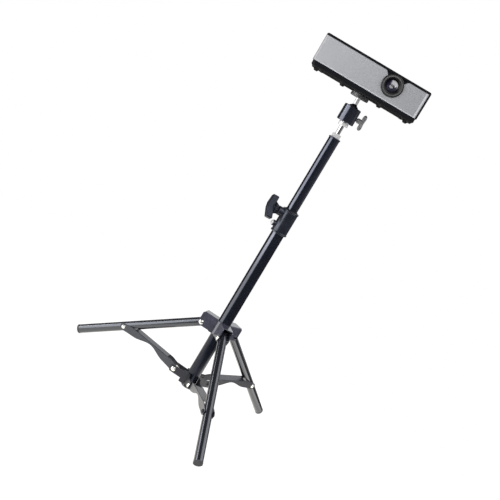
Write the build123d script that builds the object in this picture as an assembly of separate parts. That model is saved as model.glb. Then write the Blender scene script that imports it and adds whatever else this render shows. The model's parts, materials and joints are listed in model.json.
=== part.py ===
from build123d import *
import math
import os

os.makedirs("parts", exist_ok=True)

# Millimetres. +Z is up, the floor is Z 0, the column axis is the Z axis and the projector faces -Y.

# Fits: a pressed seat, a turning fit, a sliding fit, and the length by which cuts run past a face
seat_fit = 0.05
turn_fit = 0.1
slide_fit = 0.3
past = 1.0

# Folding legs
leg_od = 13.0
leg_wall = 1.0
leg_len = 193.0
leg_splay = 53.6
leg_heading = -70.5
leg_top_len = 7.0
foot_thick = 3.0
foot_round = 1.0
foot_stub = 9.0

# Bent sheet hub that slides on the column, and the fixed collar under it
sheet = 1.2
bend_r = 1.0
pivot_r = 28.3
hub_gap = 0.5
hub_ear_out = 4.2
hub_ear_down = 4.6
hub_wrap_down = 5.4
hub_up = 16.5
hub_corner = 2.0
collar_gap = 0.5
collar_pivot_z = 39.3
collar_ear_out = 5.4
collar_ear_down = 5.2
collar_ear_up = 5.6
collar_wrap_down = 10.5
collar_wrap_up = 8.0
collar_corner = 3.0
ear_root = 2.5
root_corner = 1.0

# Stamped channel braces
brace_sheet = 1.0
brace_on_leg = 118.6
brace_gap = 0.3
brace_web_gap = 0.6
brace_end_r = 5.0
brace_waist = 3.4
brace_slope = 14.0
brace_bend_r = 0.8
brace_web_start = 20.0
brace_web_end = 18.0

# Rivets with a dimple in the crown
rivet_r = 2.4
rivet_head_r = 3.7
rivet_head_h = 1.8
small_head_r = 3.1
dimple_r = 1.2
dimple_deep = 0.7

# Column tubes
outer_od = 19.0
inner_od = 16.0
tube_wall = 1.0
outer_len = 273.2
plug_thick = 3.0
plug_round = 1.0
plug_stub = 12.0
inner_out = 135.0
inner_in = 157.0
cap_thick = 2.2
cap_over = 0.6
cap_round = 0.6
cap_stub = 10.0

# Clamp collar with its wing screw, from the top end of the outer tube
clamp_od = 23.0
clamp_grip = 17.5
clamp_over = 18.5
clamp_lip = 0.7
clamp_lip_h = 2.0
clamp_heading = 200.0
clamp_screw_up = 11.0
clamp_boss_r = 6.5
clamp_boss_end = 18.5
clamp_boss_edge = 0.6
clamp_screw_r = 3.0
clamp_pad_down = 7.5
clamp_pad_r = 4.2
clamp_pad_end = 15.2
pad_rivet_r = 2.0
pad_head_r = 3.2
pad_head_h = 2.2
pad_head_edge = 0.5
knob_turn = 32.0
knob_play = 0.5
knob_hub_r = 5.5
knob_hub_end = 27.0
knob_screw_end = 25.0
knob_in = 22.7
knob_root = 24.5
knob_root_half = 6.5
knob_tip = 32.3
knob_out = 35.6
knob_nose = 4.0
knob_half = 17.5
knob_thick = 7.5
knob_round = 1.6
knob_facet = 1.2

# Ball head
stud_r = 3.175
stud_nut_flats = 10.5
stud_nut_h = 6.0
stud_free = 24.5
stud_in_head = 4.5
stud_hole_deep = 5.0
head_nut_h = 5.3
head_nut_r = 7.0
head_nut_edge = 0.5
housing_r = 12.3
housing_h = 23.5
housing_edge = 0.8
ball_r = 9.0
ball_below_top = 5.4
mouth_edge = 0.6
stem_r = 3.2
neck_r = 3.9
neck_low = 8.1
neck_high = 9.5
platform_r = 13.0
platform_up = 13.3
platform_thick = 6.0
platform_edge = 0.5
platform_screw_r = 3.1
platform_screw_up = 5.5
thumb_up = 10.7
thumb_r = 2.5
thumb_tip = 8.0
thumb_collar_r = 3.6
thumb_collar_gap = 1.2
thumb_bar_x = 19.2
thumb_bar_thick = 4.2
thumb_bar_half = 11.4
thumb_bar_wide = 6.0
thumb_bar_round = 2.4

# Projector
proj_w = 156.0
proj_d = 96.0
proj_h = 45.2
base_h = 6.7
base_inset = 1.0
base_round = 5.0
base_edge = 1.2
rear_d = 12.0
rear_round = 5.0
case_round = 2.6
panel_t = 1.8
bevel_deep = 1.0
bevel_left = 2.5
bevel_right = 3.4
bevel_low = 1.5
bevel_top = 0.8
lip_h = 2.8
side_edge = 2.4
lens_x = 29.0
lens_up = 28.1
lens_r = 14.9
lens_pocket = 12.0
keyhole_top = 16.8
keyhole_low = 12.0
keyhole_neck = 8.8
keyhole_round = 3.0
foot_rows_x = (-71.6, -29.4, 29.4, 71.6)
foot_row_y = 40.0
proj_foot_r = 2.4
proj_foot_flare = 4.0
proj_foot_h = 2.4
grille_len = 56.0
grille_h = 24.0
grille_t = 2.0
grille_border = 3.0
slot_w = 2.2
slot_pitch = 4.4
slot_count = 12
inlet_x = -52.0
inlet_up = 17.7
inlet_r = 2.8
inlet_deep = 10.0

# Lens rings: how far each stands out from the front face, and the depths behind it
bezel_w = 1.5
band_w = 1.9
bezel_out = 1.8
bezel_edge = 0.5
bezel_deep = 13.0
band_out = 1.2
band_deep = 12.5
barrel_out = 0.6
barrel_rim = 0.8
barrel_deep = 12.0
glass_r = 8.85
glass_edge = 4.6
glass_sag = 3.2
glass_back = 9.0


def radial(az):
    """Turn a piece drawn along +X to the heading az."""
    return Rot(0, 0, az)


def rod_x(radius, x0, x1):
    """A solid rod along X between two stations."""
    return Pos((x0 + x1) / 2, 0, 0) * Rot(0, 90, 0) * Cylinder(radius, x1 - x0)


def rod_y(radius, y0, y1):
    """A solid rod along Y between two stations."""
    return Pos(0, (y0 + y1) / 2, 0) * Rot(90, 0, 0) * Cylinder(radius, y1 - y0)


def rod_z(radius, z0, z1):
    """A solid rod along Z between two heights."""
    return Pos(0, 0, (z0 + z1) / 2) * Cylinder(radius, z1 - z0)


def block(x0, x1, y0, y1, z0, z1):
    """A box between two corners."""
    return Pos((x0 + x1) / 2, (y0 + y1) / 2, (z0 + z1) / 2) * Box(x1 - x0, y1 - y0, z1 - z0)


def turned(points):
    """A solid of revolution about Z from a closed outline of radius and height."""
    outline = make_face(Polyline(*[(r, 0, z) for r, z in points], close=True))
    return revolve(outline, Axis.Z)


def domed_head(seat, radius, way):
    """A rivet head along Y: a low dome that stands on the seat plane, points one way and has a dimple."""
    ball = (radius * radius + rivet_head_h * rivet_head_h) / (2 * rivet_head_h)
    crown = seat + way * rivet_head_h
    dome = Pos(0, crown - way * ball, 0) * Sphere(ball)
    slab = rod_y(radius + past, *sorted((seat, crown)))
    dimple = rod_y(dimple_r, *sorted((crown - way * dimple_deep, crown + way * past)))
    return (dome & slab) - dimple


def through_rivet(half, head_r):
    """A rivet along Y with a dome at each end."""
    return rod_y(rivet_r, -half, half) + domed_head(half, head_r, 1) + domed_head(-half, head_r, -1)


# Leg geometry that follows from the driving sizes
splay = math.radians(leg_splay)
leg_r = leg_od / 2
pivot_z = (leg_len - foot_round) * math.cos(splay) + (leg_r - foot_round) * math.sin(splay) + foot_round
knee_r = pivot_r + brace_on_leg * math.sin(splay)
knee_z = pivot_z - brace_on_leg * math.cos(splay)
brace_len = math.hypot(knee_r - pivot_r, knee_z - collar_pivot_z)
brace_drop = math.degrees(math.atan2(knee_z - collar_pivot_z, knee_r - pivot_r))
headings = [leg_heading + 120.0 * k for k in range(3)]
outer_r = outer_od / 2
inner_r = inner_od / 2
brace_in = leg_r + brace_gap
brace_out = brace_in + brace_sheet
web_top = leg_r + brace_web_gap + brace_sheet
hub_in = leg_r + hub_gap
hub_out = hub_in + sheet
hub_top = pivot_z + hub_up
collar_in = brace_out + collar_gap
collar_out = collar_in + sheet


def ear(inside, r_out, z0, z1, corner):
    """One flat ear on the +Y side, standing up, with its two outer corners rounded."""
    plate = block(0, r_out, inside, inside + sheet, z0, z1)
    corners = plate.edges().filter_by(Axis.Y).group_by(Axis.X)[-1]
    return fillet(corners, corner)


def sector(az, half_angle, reach, z0, z1):
    """A wedge of space about the heading az, from the column axis out to a reach."""
    side = reach * math.tan(math.radians(half_angle))
    outline = make_face(Polyline((0, 0, 0), (reach, -side, 0), (reach, side, 0), close=True))
    return radial(az) * Pos(0, 0, z0) * extrude(outline, z1 - z0)


def bent_plate(az, bore, inside, r_out, z_ear, z_wrap, corner, pin_z):
    """A sheet bent round a third of the tube, with an ear at each end beside two neighbour legs."""
    wrap_r = bore + sheet
    near = ear(inside, r_out, z_ear[0], z_ear[1], corner)
    near = near + ear(inside, wrap_r + ear_root, z_wrap[0], z_wrap[1], root_corner)
    near = near - Pos(pivot_r, 0, pin_z) * rod_y(rivet_r + seat_fit, 0, inside + sheet + past)
    first = radial(az) * near
    last = radial(az + 120) * mirror(near, Plane.XZ)
    ring = rod_z(wrap_r, z_wrap[0], z_wrap[1])
    # The two ears meet on the line half way between the legs, and the slots of both legs stay open
    plate = (first + last + ring) & sector(az + 60, 60, 2 * r_out, z_wrap[0], z_wrap[1])
    slot = block(0, 2 * r_out, -inside, inside, z_wrap[0] - past, z_wrap[1] + past)
    plate = plate - radial(az) * slot - radial(az + 120) * slot
    return plate - rod_z(bore, z_wrap[0] - past, z_wrap[1] + past)


def top_tab(az, bore, r_out):
    """The part of a hub plate that is bent over the leg slot and rests on the neighbour's ear."""
    tab = block(0, r_out, -hub_out, hub_out, hub_top - sheet, hub_top)
    bend = tab.edges().filter_by(Axis.X).group_by(Axis.Z)[-1].sort_by(Axis.Y)[-1]
    tab = radial(az) * fillet(bend, bend_r)
    return tab - rod_z(bore, hub_top - sheet - past, hub_top + past)


# Hub plates, their three long pivots, collar plates and their short pivots
hub_bore = outer_r + slide_fit
hub_r_out = pivot_r + hub_ear_out
hub_plates = []
collar_plates = []
for az in headings:
    hub_plate = bent_plate(
        az, hub_bore, hub_in, hub_r_out, (pivot_z - hub_ear_down, hub_top - sheet),
        (pivot_z - hub_wrap_down, hub_top - sheet), hub_corner, pivot_z)
    hub_plates.append(hub_plate + top_tab(az, hub_bore, hub_r_out - hub_corner))
    collar_plates.append(bent_plate(
        az, outer_r + seat_fit, collar_in, pivot_r + collar_ear_out,
        (collar_pivot_z - collar_ear_down, collar_pivot_z + collar_ear_up),
        (collar_pivot_z - collar_wrap_down, collar_pivot_z + collar_wrap_up), collar_corner, collar_pivot_z))

hub_pivots = [radial(az) * Pos(pivot_r, 0, pivot_z) * through_rivet(hub_out, rivet_head_r) for az in headings]
collar_pivots = []
for az in headings:
    for way in (-1, 1):
        stub = rod_y(rivet_r, *sorted((way * collar_in, way * collar_out)))
        stub = stub + domed_head(way * collar_out, rivet_head_r, way)
        collar_pivots.append(radial(az) * Pos(pivot_r, 0, collar_pivot_z) * stub)

# One leg drawn along +X from its pivot: tube, end plug and the rivet that carries the brace
tube_end = leg_len - foot_thick
leg_tube = rod_x(leg_r, -leg_top_len, tube_end)
leg_tube = leg_tube - rod_x(leg_r - leg_wall, -leg_top_len - past, tube_end + past)
leg_tube = leg_tube - rod_y(rivet_r + turn_fit, -leg_od, leg_od)
leg_tube = leg_tube - Pos(brace_on_leg, 0, 0) * rod_y(rivet_r + seat_fit, -leg_od, leg_od)
foot_cap = rod_x(leg_r, tube_end, leg_len)
foot_cap = fillet(foot_cap.edges().sort_by(Axis.X)[-1], foot_round)
foot_plug = foot_cap + rod_x(leg_r - leg_wall - seat_fit, tube_end - foot_stub, tube_end)
leg_rivet = Pos(brace_on_leg, 0, 0) * through_rivet(brace_out + brace_gap, small_head_r)

# One brace drawn along +X from the leg rivet to the collar: a channel with its web up and a waisted flange
waist_z = web_top - brace_waist
low = Spline(
    (0, 0, -brace_end_r), (12, 0, -3.4), (0.26 * brace_len, 0, -1.8), (0.375 * brace_len, 0, 1.9),
    (0.505 * brace_len, 0, waist_z), (0.625 * brace_len, 0, 2.1), (0.735 * brace_len, 0, -1.4),
    (brace_len - 12, 0, -3.2), (brace_len, 0, -brace_end_r), tangents=((1, 0, 0.1), (1, 0, -0.1)))
inner_end = ThreePointArc((brace_len, 0, -brace_end_r), (brace_len + brace_end_r, 0, 0),
                          (brace_len, 0, brace_end_r))
top = Polyline((brace_len, 0, brace_end_r), (brace_len - brace_slope, 0, web_top),
               (brace_slope, 0, web_top), (0, 0, brace_end_r))
outer_end = ThreePointArc((0, 0, brace_end_r), (-brace_end_r, 0, 0), (0, 0, -brace_end_r))
side_face = make_face(Wire([*low.edges(), *inner_end.edges(), *top.edges(), *outer_end.edges()]))
brace = extrude(side_face, brace_out, both=True)
bend_edges = brace.edges().filter_by(Axis.X).group_by(Axis.Z)[-1]
brace = fillet(bend_edges, brace_bend_r)
brace = brace - block(-leg_od, brace_len + leg_od, -brace_in, brace_in, -leg_od, web_top - brace_sheet)
brace = brace - block(-leg_od, brace_web_start, -brace_in, brace_in, -leg_od, leg_od)
brace = brace - block(brace_len - brace_web_end, brace_len + leg_od, -brace_in, brace_in, -leg_od, leg_od)
brace = brace - rod_y(rivet_r + turn_fit, -leg_od, leg_od)
brace = brace - Pos(brace_len, 0, 0) * rod_y(rivet_r + turn_fit, -leg_od, leg_od)

for k, az in enumerate(headings, 1):
    on_leg = radial(az) * Pos(pivot_r, 0, pivot_z) * Rot(0, 90 - leg_splay, 0)
    on_brace = radial(az) * Pos(knee_r, 0, knee_z) * Rot(0, -brace_drop, 0) * Rot(0, 0, 180)
    export_step(hub_plates[k - 1], f"parts/hub_plate_{k}.step")
    export_step(collar_plates[k - 1], f"parts/collar_plate_{k}.step")
    export_step(on_leg * leg_tube, f"parts/leg_tube_{k}.step")
    export_step(on_leg * foot_plug, f"parts/foot_plug_{k}.step")
    export_step(on_leg * leg_rivet, f"parts/leg_rivet_{k}.step")
    export_step(on_brace * brace, f"parts/brace_{k}.step")

export_step(Compound(hub_pivots), "parts/hub_pivots.step")
export_step(Compound(collar_pivots), "parts/collar_pivots.step")

# Outer tube with its bottom plug
outer_bottom = collar_pivot_z - collar_wrap_down
outer_top = outer_bottom + outer_len
outer_tube = rod_z(outer_r, outer_bottom, outer_top)
outer_tube = outer_tube - rod_z(outer_r - tube_wall, outer_bottom - past, outer_top + past)
plug = rod_z(outer_r, outer_bottom - plug_thick, outer_bottom)
plug = fillet(plug.edges().sort_by(Axis.Z)[0], plug_round)
plug = plug + rod_z(outer_r - tube_wall - seat_fit, outer_bottom, outer_bottom + plug_stub)
export_step(outer_tube, "parts/outer_tube.step")
export_step(plug, "parts/column_plug.step")

# Clamp collar: a lipped sleeve riveted over the outer tube that grips the inner tube above it
on_clamp = radial(clamp_heading)
clamp_r = clamp_od / 2
lip_r = clamp_r + clamp_lip
clamp_low = outer_top - clamp_grip
clamp_high = outer_top + clamp_over
sleeve = turned([
    (0, clamp_low), (clamp_r, clamp_low), (lip_r, clamp_low + clamp_lip), (lip_r, clamp_low + clamp_lip_h),
    (clamp_r, clamp_low + clamp_lip_h + clamp_lip), (clamp_r, clamp_high - clamp_lip_h - clamp_lip),
    (lip_r, clamp_high - clamp_lip_h), (lip_r, clamp_high - clamp_lip),
    (clamp_r, clamp_high), (0, clamp_high)])
at_screw = on_clamp * Pos(0, 0, outer_top + clamp_screw_up)
at_pad = on_clamp * Pos(0, 0, outer_top - clamp_pad_down)
boss = rod_x(clamp_boss_r, 0, clamp_boss_end)
boss = chamfer(boss.edges().sort_by(Axis.X)[-1], clamp_boss_edge)
sleeve = sleeve + at_screw * boss + at_pad * rod_x(clamp_pad_r, 0, clamp_pad_end)
sleeve = sleeve - rod_z(outer_r + seat_fit, clamp_low - past, outer_top)
sleeve = sleeve - rod_z(inner_r + slide_fit, outer_top - past, clamp_high + past)
sleeve = sleeve - at_screw * rod_x(clamp_screw_r + turn_fit, 0, clamp_boss_end + past)
sleeve = sleeve - at_pad * rod_x(pad_rivet_r + seat_fit, 0, clamp_pad_end + past)
pad_rivet = rod_x(pad_rivet_r, outer_r + turn_fit, clamp_pad_end)
pad_rivet = pad_rivet + rod_x(pad_head_r, clamp_pad_end, clamp_pad_end + pad_head_h)
pad_rivet = chamfer(pad_rivet.edges().sort_by(Axis.X)[-1], pad_head_edge)
export_step(sleeve, "parts/clamp_collar.step")
export_step(at_pad * pad_rivet, "parts/clamp_rivet.step")

# Wing knob on its clamp screw, drawn along +X: two facetted wings that lean in beside a blunt nose
wing = make_face(Polyline(
    (knob_root, 0, -knob_root_half), (knob_in, 0, -knob_half), (knob_tip, 0, -knob_half),
    (knob_out, 0, -knob_nose), (knob_out, 0, knob_nose),
    (knob_tip, 0, knob_half), (knob_in, 0, knob_half), (knob_root, 0, knob_root_half), close=True))
wing = extrude(wing, knob_thick / 2, both=True)
wing = fillet(wing.edges().filter_by(Axis.Y), knob_round)
wing_sides = wing.faces().sort_by(Axis.Y)
wing = chamfer(wing_sides[0].edges() + wing_sides[-1].edges(), knob_facet)
knob = wing + rod_x(knob_hub_r, clamp_boss_end + knob_play, knob_hub_end)
knob = knob - rod_x(clamp_screw_r + seat_fit, 0, knob_screw_end)
screw = rod_x(clamp_screw_r, inner_r + slide_fit, knob_screw_end)
export_step(at_screw * Rot(knob_turn, 0, 0) * knob, "parts/clamp_knob.step")
export_step(at_screw * screw, "parts/clamp_screw.step")

# Inner tube, its cap, and the stud that carries the ball head
column_top = outer_top + inner_out
tube_top = column_top - cap_thick
inner_bottom = outer_top - inner_in
inner_tube = rod_z(inner_r, inner_bottom, tube_top)
inner_tube = inner_tube - rod_z(inner_r - tube_wall, inner_bottom - past, tube_top + past)
cap = rod_z(inner_r + cap_over, tube_top, column_top)
cap = fillet(cap.edges().sort_by(Axis.Z)[-1], cap_round)
cap = cap + rod_z(inner_r - tube_wall - seat_fit, tube_top - cap_stub, tube_top)
head_bottom = column_top + stud_free
nut_top = head_bottom - slide_fit
stud_nut = extrude(RegularPolygon(stud_nut_flats / 2, 6, major_radius=False), stud_nut_h)
stud_nut = Pos(0, 0, column_top) * stud_nut
stud = stud_nut + rod_z(stud_r, column_top + stud_nut_h, head_bottom + stud_in_head)
head_nut = chamfer(rod_z(head_nut_r, nut_top - head_nut_h, nut_top).edges(), head_nut_edge)
head_nut = head_nut - rod_z(stud_r + seat_fit, nut_top - head_nut_h - past, nut_top + past)
export_step(inner_tube, "parts/inner_tube.step")
export_step(cap, "parts/tube_cap.step")
export_step(stud, "parts/head_stud.step")
export_step(head_nut, "parts/head_nut.step")

# Ball head: a cup that holds the ball, the ball with its stem, the platform and the thumb screw
head_top = head_bottom + housing_h
ball_z = head_top - ball_below_top
at_thumb = Pos(0, 0, head_bottom + thumb_up)
cup_r = ball_r + slide_fit
mouth_r = math.sqrt(cup_r * cup_r - ball_below_top * ball_below_top)
housing = chamfer(rod_z(housing_r, head_bottom, head_top).edges(), housing_edge)
housing = housing - Pos(0, 0, ball_z) * Sphere(cup_r)
housing = housing - turned([(0, head_top - mouth_edge), (mouth_r, head_top - mouth_edge),
                            (mouth_r + mouth_edge, head_top), (0, head_top)])
housing = housing - rod_z(stud_r + turn_fit, head_bottom - past, head_bottom + stud_hole_deep)
housing = housing - at_thumb * rod_x(thumb_r + turn_fit, ball_r / 2, housing_r + past)
platform_low = head_top + platform_up
platform_top = platform_low + platform_thick
ball_stud = Pos(0, 0, ball_z) * Sphere(ball_r) + rod_z(stem_r, ball_z, platform_low)
ball_stud = ball_stud + turned([(0, ball_z), (neck_r, ball_z), (neck_r, ball_z + neck_low),
                                (stem_r, ball_z + neck_high), (0, ball_z + neck_high)])
ball_stud = ball_stud + rod_z(platform_screw_r, platform_low, platform_top + platform_screw_up)
platform = chamfer(rod_z(platform_r, platform_low, platform_top).edges(), platform_edge)
platform = platform - rod_z(platform_screw_r + seat_fit, platform_low - past, platform_top + past)
thumb_bar_end = thumb_bar_x + thumb_bar_thick
bar_side = thumb_bar_wide / 2
bar = block(thumb_bar_x, thumb_bar_end, -bar_side, bar_side, -thumb_bar_half, thumb_bar_half)
bar = fillet(bar.edges().filter_by(Axis.X), thumb_bar_round)
thumb = bar + rod_x(thumb_r, thumb_tip, thumb_bar_x)
thumb = thumb + rod_x(thumb_collar_r, housing_r + thumb_collar_gap, thumb_bar_x)
export_step(housing, "parts/ball_housing.step")
export_step(ball_stud, "parts/ball_stud.step")
export_step(platform, "parts/platform.step")
export_step(at_thumb * thumb, "parts/thumb_screw.step")

# Projector body: base tray, case, rear cover, silver front, feet and side grilles
px = proj_w / 2
py = proj_d / 2
pz0 = platform_top
pz1 = pz0 + base_h
pz2 = pz0 + proj_h
face_y = -py + panel_t
rear_y = py - rear_d
panel_top = pz2 - lip_h
panel_right = px - side_edge
screw_hole_r = platform_screw_r + turn_fit
tray = block(-px + base_inset, px - base_inset, -py + base_inset, py - base_inset, pz0, pz1)
tray = fillet(tray.edges().filter_by(Axis.Z), base_round)
tray = chamfer(tray.edges().group_by(Axis.Z)[0], base_edge)
tray = tray - rod_z(screw_hole_r, pz0 - past, pz0 + platform_screw_up + slide_fit)
case = block(-px, px, face_y, rear_y, pz1, pz2) + block(-px, px, -py, face_y, panel_top, pz2)
case = case + block(panel_right, px, -py, face_y, pz1, pz2)
case = fillet(case.edges().filter_by(Axis.Y).group_by(Axis.Z)[-1], case_round)
at_lens = Pos(lens_x, 0, pz0 + lens_up)
case = case - at_lens * rod_y(lens_r + turn_fit, -py - past, face_y + lens_pocket)
grille_y = (face_y + rear_y) / 2
grille_z = (pz1 + pz2) / 2


def grille_plate(way, border, x_in, x_out):
    """A flat block let into one side of the case, drawn smaller by a border all round."""
    x0, x1 = sorted((way * x_in, way * x_out))
    half_len = grille_len / 2 - border
    half_h = grille_h / 2 - border
    return block(x0, x1, grille_y - half_len, grille_y + half_len, grille_z - half_h, grille_z + half_h)


for name, way in (("left", -1), ("right", 1)):
    case = case - grille_plate(way, 0, px - grille_t, px + past)
    grille = grille_plate(way, turn_fit, px - grille_t, px)
    for n in range(slot_count):
        y = grille_y + (n - (slot_count - 1) / 2) * slot_pitch
        strip = block(-px - past, px + past, y - slot_w / 2, y + slot_w / 2, pz1, pz2)
        grille = grille - (strip & grille_plate(way, grille_border, px - grille_t - past, px + past))
    export_step(grille, f"parts/side_grille_{name}.step")

rear = block(-px, px, rear_y, py, pz1, pz2)
rear = fillet(rear.edges().filter_by(Axis.Z).group_by(Axis.Y)[-1], rear_round)
rear = rear - Pos(inlet_x, 0, pz0 + inlet_up) * rod_y(inlet_r, py - inlet_deep, py + past)


def upright(x0, x1, z0, z1, y):
    """A rectangle that stands in the plane Y = y."""
    return make_face(Polyline((x0, y, z0), (x1, y, z0), (x1, y, z1), (x0, y, z1), close=True))


# The silver front has a bevel of its own width on each side and a keyhole opening round the lens
front = block(-px, panel_right, -py + bevel_deep, face_y, pz1, panel_top)
front = front + loft([
    upright(-px, panel_right, pz1, panel_top, -py + bevel_deep),
    upright(-px + bevel_left, panel_right - bevel_right, pz1 + bevel_low, panel_top - bevel_top, -py)])
neck_z = pz0 + lens_up + keyhole_neck
keyhole = make_face(Polyline(
    (lens_x - keyhole_low, -py - past, pz0 + lens_up), (lens_x - keyhole_low, -py - past, neck_z),
    (lens_x - keyhole_top, -py - past, panel_top), (lens_x - keyhole_top, -py - past, pz2),
    (lens_x + keyhole_top, -py - past, pz2), (lens_x + keyhole_top, -py - past, panel_top),
    (lens_x + keyhole_low, -py - past, neck_z), (lens_x + keyhole_low, -py - past, pz0 + lens_up),
    close=True))
keyhole = extrude(keyhole, panel_t + 2 * past, dir=(0, 1, 0))
shoulders = keyhole.edges().filter_by(Axis.Y).filter_by_position(Axis.Z, neck_z - seat_fit, neck_z + seat_fit)
keyhole = fillet(shoulders, keyhole_round)
front = front - keyhole - at_lens * rod_y(lens_r + turn_fit, -py - past, face_y + past)

# Each foot flares into the base
foot = turned([(0, -proj_foot_h), (proj_foot_r, -proj_foot_h), (proj_foot_flare, 0), (0, 0)])
feet = [Pos(x, y, pz0) * foot for x in foot_rows_x for y in (-foot_row_y, foot_row_y)]
export_step(tray, "parts/projector_base.step")
export_step(case, "parts/projector_case.step")
export_step(rear, "parts/projector_rear.step")
export_step(front, "parts/projector_front.step")
export_step(Compound(feet), "parts/projector_feet.step")

# Lens: bezel, focus ring, hooded barrel and the front glass, all turned about the lens axis
band_r = lens_r - bezel_w
barrel_r = band_r - band_w


def on_axis(outline):
    """Place a turned solid, drawn by radius and depth behind the front face, on the lens axis."""
    return at_lens * Pos(0, -py, 0) * Rot(-90, 0, 0) * outline


bezel = turned([(band_r + seat_fit, -bezel_out), (lens_r - bezel_edge, -bezel_out),
                (lens_r, -bezel_out + bezel_edge), (lens_r, bezel_deep), (band_r + seat_fit, bezel_deep)])
band = turned([(barrel_r + seat_fit, -band_out), (band_r, -band_out), (band_r, band_deep),
               (barrel_r + seat_fit, band_deep)])
barrel = turned([(0, barrel_deep), (barrel_r, barrel_deep), (barrel_r, -barrel_out),
                 (barrel_r - barrel_rim, -barrel_out), (glass_r + seat_fit, glass_edge),
                 (glass_r + seat_fit, glass_back), (0, glass_back)])
dome_r = (glass_r * glass_r + glass_sag * glass_sag) / (2 * glass_sag)
glass = Pos(0, 0, glass_edge - glass_sag + dome_r) * Sphere(dome_r)
glass = glass & rod_z(glass_r, glass_edge - glass_sag, glass_back)
export_step(on_axis(bezel), "parts/lens_bezel.step")
export_step(on_axis(band), "parts/focus_ring.step")
export_step(on_axis(barrel), "parts/lens_barrel.step")
export_step(on_axis(glass), "parts/lens_glass.step")
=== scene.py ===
"""Dresses a folding projector stand.

Every rigid piece gets its paint, metal or lacquer. Turned trim, light and a camera are added.
"""

import json
import math
from functools import partial

import bmesh
import bpy
import numpy as np
from bpy.props import FloatProperty, FloatVectorProperty, IntProperty, PointerProperty
from mathutils import Matrix, Vector


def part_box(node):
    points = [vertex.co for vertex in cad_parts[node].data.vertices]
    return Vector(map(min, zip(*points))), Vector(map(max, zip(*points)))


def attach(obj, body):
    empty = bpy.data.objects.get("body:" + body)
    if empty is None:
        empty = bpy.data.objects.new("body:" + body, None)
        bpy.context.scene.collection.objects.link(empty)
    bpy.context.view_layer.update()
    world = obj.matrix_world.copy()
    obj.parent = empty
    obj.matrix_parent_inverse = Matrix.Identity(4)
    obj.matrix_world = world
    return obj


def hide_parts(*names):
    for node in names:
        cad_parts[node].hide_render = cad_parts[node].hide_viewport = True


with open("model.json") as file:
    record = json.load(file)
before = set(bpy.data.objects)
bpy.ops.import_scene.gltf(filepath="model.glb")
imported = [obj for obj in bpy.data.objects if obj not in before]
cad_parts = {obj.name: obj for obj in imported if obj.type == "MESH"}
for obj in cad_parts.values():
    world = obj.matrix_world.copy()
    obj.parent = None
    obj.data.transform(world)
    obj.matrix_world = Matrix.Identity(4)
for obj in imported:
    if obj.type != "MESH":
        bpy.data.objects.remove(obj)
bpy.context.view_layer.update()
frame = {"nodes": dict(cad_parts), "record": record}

bl_info = {
    "name": "Projector stand finish",
    "version": (1, 0, 0),
    "blender": (4, 5, 0),
    "location": "View3D > Sidebar > Stand",
    "description": "Finishes, trim, light and camera for a folding projector stand",
    "category": "Object",
}

MM = 0.001
NODES = frame["nodes"]
HEADINGS = (1, 2, 3)
UPWARD = (0, 0, 1)

# Tints of mirrored light, and plain tones of the floor and the room.
COLD_SHEEN = (0.77, 0.82, 1.0, 1.0)
PALE_SHEEN = (0.86, 0.90, 1.0, 1.0)
WARM_FLOOR = (1.0, 0.97, 0.89, 1.0)
WHITE = (1.0, 1.0, 1.0, 1.0)
FLOOR_GREY = (0.8, 0.8, 0.8, 1.0)

# Small lengths of the trim.
PLATFORM_EDGE = 0.6 * MM
BALL_RISE = 4.2 * MM
WIPER_ROOT = 0.3 * MM
FLUTE_EASE = 0.5 * MM
SHANK_EASE = 0.4 * MM
SCREW_INSET = 14.0 * MM
SCREW_REACH = 26.0 * MM
SCREW_ROOT = 0.5 * MM
PIN_START = 2.2 * MM
SLEEVE_START = 0.5 * MM
SLEEVE_FIT = 0.02 * MM
BAFFLE_LONG = 4.6 * MM
BAFFLE_WALL = 0.3 * MM
BAFFLE_START = 0.1 * MM
HOOD_WALL = 0.85 * MM
GLASS_GAP = 0.10 * MM
FLOOR_DROP = 0.2 * MM

# Lengths over which a finish changes.
PAINTED_SHADE_FADE = 10.0 * MM
SHADED_SIDE_FADE = (5.0 * MM, 10.0 * MM)
LEFT_EDGE_FADE = (0.9 * MM, 1.3 * MM)

# Shapes of the thumb screw's wing and of the cross recess, as shares.
WING_TIP = 0.9998
WING_ROUND = 0.6
RECESS_END = 0.62
RECESS_FADE = 0.06

# The floor in metres from the column: where its plain white begins, and what shiny pieces see of it.
FEET_FADE = (0.25, 0.70)
FEET_GAIN = 0.9
GLOW_CENTRE = (-0.10, 0.08, 0.0)
GLOW_FADE = (0.26, 0.40)
PATCH_CENTRE = (0.24, 0.05, 0.0)
PATCH_FADE = (0.06, 0.15)
KEY_SIDE = (-0.906, -0.423, 0.0)
KEY_WEDGE = (0.83, 0.94)
KEY_SHINE = 2.6
KEY_START = (0.30, 0.50)

# The room by the direction of a mirrored ray: limits between which each part of it comes in.
RIGHT_WALL = (0.1, 0.7)
STRIP_NEAR = (0.12, 0.22)
STRIP_FAR = (0.34, 0.44)
STRIP_SIDE = (0.6, 0.8)
BACKDROP = (0.60, 0.85)
HORIZON = (0.0, 0.06)

# Lamps: name, place, aim, width, height, power and whether shiny pieces mirror it.
LAMPS = (
    ("key_window", (-1.17, -0.62, 0.32), (0.0, 0.0, 0.32), 1.2, 0.62, "key_power", True),
    ("top_wide", (0.85, -0.05, 1.30), (0.0, 0.0, 0.30), 1.4, 1.4, "top_power", True),
    ("front_box", (0.40, -1.50, 1.36), (0.0, 0.0, 0.50), 1.8, 1.1, "front_power", True),
    ("fill_wide", (1.35, -0.35, 0.50), (0.0, 0.0, 0.30), 0.9, 1.1, "fill_power", False),
    ("slim_left", (-1.30, -0.06, 0.60), (0.04, -0.12, 0.05), 0.30, 0.24, "slim_power", True),
    ("band_left", (-1.10, -0.42, 0.72), (-0.06, 0.0, 0.12), 0.36, 0.26, "band_power", True),
)


def colour_value(description, default):
    """A colour that the sidebar shows, in linear light."""
    return FloatVectorProperty(description=description, default=default, subtype="COLOR", size=3, min=0.0,
                               max=1.0)


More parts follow.
